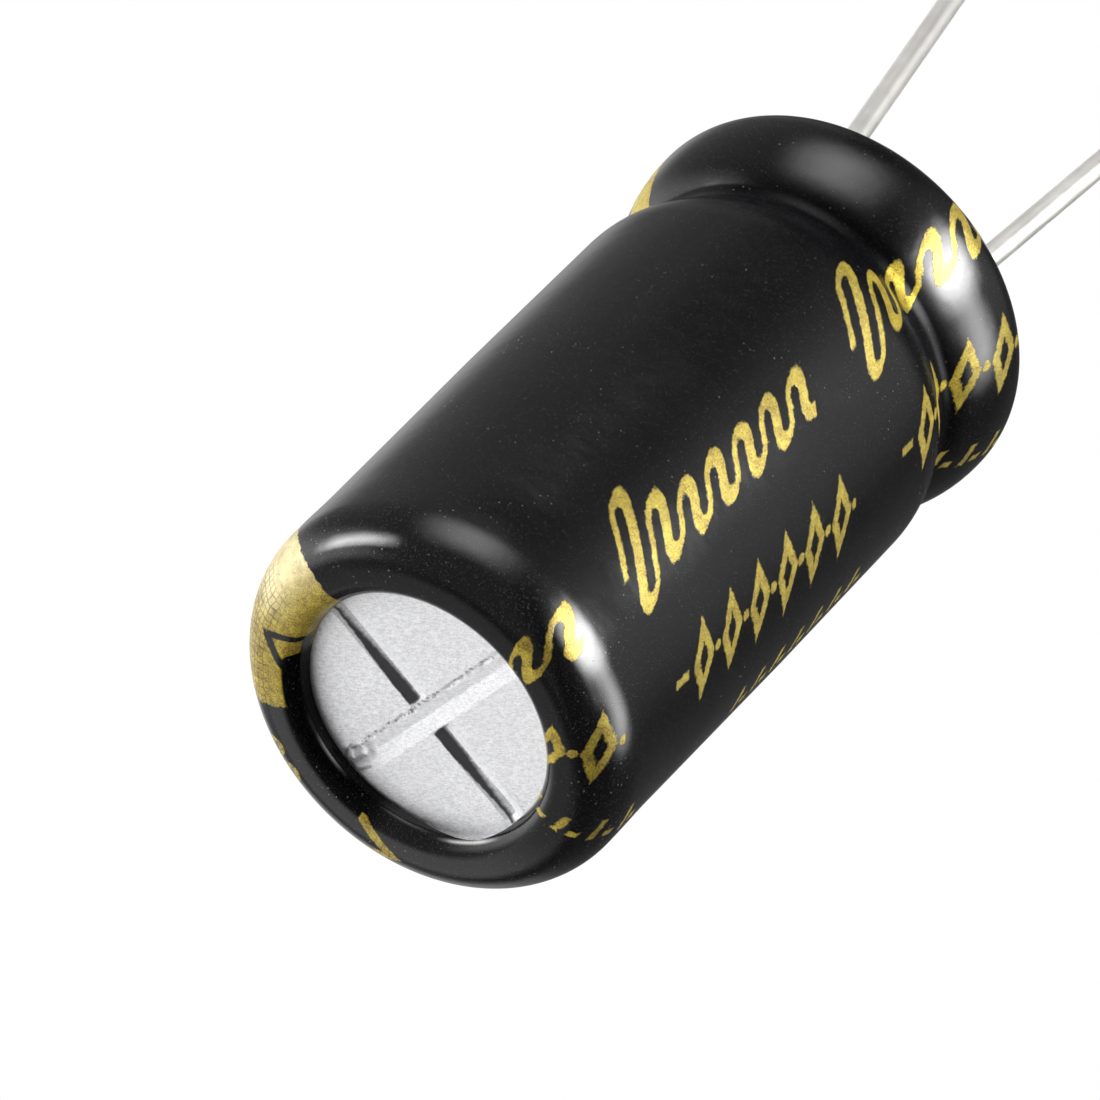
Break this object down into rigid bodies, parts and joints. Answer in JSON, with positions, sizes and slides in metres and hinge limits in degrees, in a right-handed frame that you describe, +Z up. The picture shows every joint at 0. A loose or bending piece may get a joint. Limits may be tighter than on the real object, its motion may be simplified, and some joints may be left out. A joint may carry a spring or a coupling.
{
  "type": "electrolytic capacitor",
  "caption": "Radial electrolytic capacitor: sleeved can with a crimped bead, a cross-scored vent and splayed wire leads.",
  "frame": {"origin": "centre of the seating plane, on the axis of the can, where the folded sleeve meets the board", "axes": "+Z up the can to the vent, +X to the anode lead, -X to the cathode lead"},
  "size_m": [0.0109, 0.0106, 0.0442],
  "materials": {
    "sleeve": "glossy black shrink sleeve with plain gold marks",
    "can": "bright drawn aluminium, satin on the vent panel",
    "seal": "moulded butyl rubber",
    "tab": "pressed aluminium",
    "lead": "tinned copper-clad steel wire",
    "anode_foil": "etched, formed, matt grey",
    "cathode_foil": "etched, light grey",
    "paper": "kraft separator soaked with electrolyte",
    "tape": "amber tape"
  },
  "bodies": {
    "root": {"sleeve": "sleeve", "can": "can", "seal": "seal", "anode_tab": "tab", "cathode_tab": "tab", "anode_lead": "lead", "cathode_lead": "lead", "anode_foil": "anode_foil", "inner_paper": "paper", "cathode_foil": "cathode_foil", "outer_paper": "paper", "closing_tape": "tape"}
  },
  "joints": []
}
